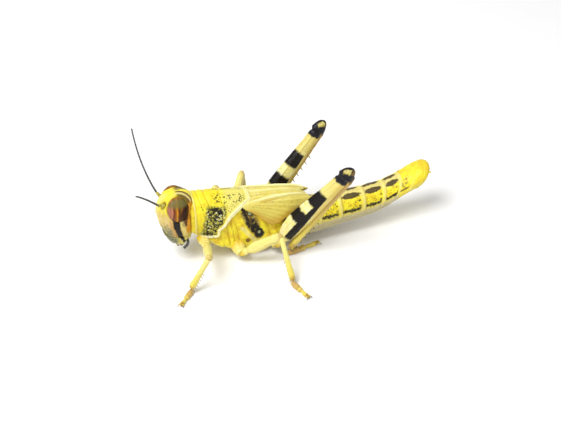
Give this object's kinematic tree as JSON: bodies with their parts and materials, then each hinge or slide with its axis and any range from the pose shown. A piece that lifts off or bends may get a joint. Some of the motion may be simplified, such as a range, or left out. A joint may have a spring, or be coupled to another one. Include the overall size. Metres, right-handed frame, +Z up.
{
  "type": "locust nymph",
  "caption": "Life-size still model of a last-stage locust nymph standing with folded hind legs, short wing pads and a yellow body with cream bands and black marks.",
  "frame": {"origin": "on the floor, below the middle of the whole model's box", "axes": "+X towards the head along the body, +Y to the animal's left, +Z up"},
  "size_m": [0.0512, 0.031, 0.0215],
  "materials": {
    "head": "waxy, yellow with darker streaks",
    "eye": "polished, brown with upright stripes",
    "antenna": "dark grey, ringed",
    "mouthparts": "olive grey",
    "thorax": "waxy, yellow with black patches",
    "wing_pad": "straw coloured, finely veined",
    "abdomen": "waxy, yellow with cream bands and dark spots",
    "leg": "waxy, pale yellow",
    "hind_femur": "cream with black bars",
    "hind_tibia": "tan with dark-tipped spines",
    "foot": "tan, orange-brown towards the claws"
  },
  "bodies": {
    "root": {"abdomen_1": "abdomen", "abdomen_2": "abdomen", "abdomen_3": "abdomen", "abdomen_4": "abdomen", "abdomen_5": "abdomen", "abdomen_6": "abdomen", "abdomen_7": "abdomen", "abdomen_8": "abdomen", "abdomen_tip": "abdomen", "antenna_left": "antenna", "antenna_right": "antenna", "coxa_fore_left": "leg", "coxa_fore_right": "leg", "coxa_hind_left": "leg", "coxa_hind_right": "leg", "coxa_mid_left": "leg", "coxa_mid_right": "leg", "eye_left": "eye", "eye_right": "eye", "femur_fore_left": "leg", "femur_fore_right": "leg", "femur_hind_left": "hind_femur", "femur_hind_right": "hind_femur", "femur_mid_left": "leg", "femur_mid_right": "leg", "forewing_pad_left": "wing_pad", "forewing_pad_right": "wing_pad", "head": "head", "hindwing_pad_left": "wing_pad", "hindwing_pad_right": "wing_pad", "labium": "mouthparts", "labrum": "mouthparts", "mandible_left": "mouthparts", "mandible_right": "mouthparts", "mesothorax": "thorax", "metathorax": "thorax", "palp_left": "mouthparts", "palp_right": "mouthparts", "pronotum": "thorax", "prosternum": "thorax", "tarsus_fore_left": "foot", "tarsus_fore_right": "foot", "tarsus_hind_left": "foot", "tarsus_hind_right": "foot", "tarsus_mid_left": "foot", "tarsus_mid_right": "foot", "tibia_fore_left": "leg", "tibia_fore_right": "leg", "tibia_hind_left": "hind_tibia", "tibia_hind_right": "hind_tibia", "tibia_mid_left": "leg", "tibia_mid_right": "leg"}
  },
  "joints": []
}
